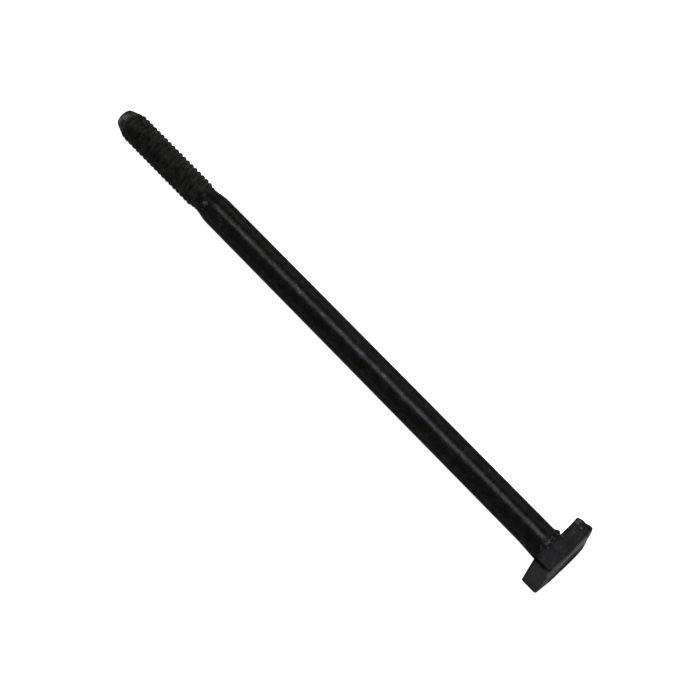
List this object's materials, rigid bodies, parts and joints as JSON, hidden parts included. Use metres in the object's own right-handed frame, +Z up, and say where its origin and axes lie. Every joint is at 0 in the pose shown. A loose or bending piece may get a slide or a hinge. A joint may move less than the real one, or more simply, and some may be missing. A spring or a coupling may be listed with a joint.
{
  "type": "square-head bolt",
  "caption": "Long dark steel bolt with a square forged head, a plain shank, a narrow runout neck and a short rolled thread with a header point.",
  "frame": {"origin": "on the table under the middle of the bolt, where it lies at rest on its head and its thread", "axes": "+X from the point to the head along the table, +Z up, +Y across"},
  "size_m": [0.1574, 0.0154, 0.0155],
  "materials": {
    "steel": "black oxide with an oily satin sheen, worn brighter along the arris of the head and at the point"
  },
  "bodies": {
    "root": {"bolt": "steel"}
  },
  "joints": []
}
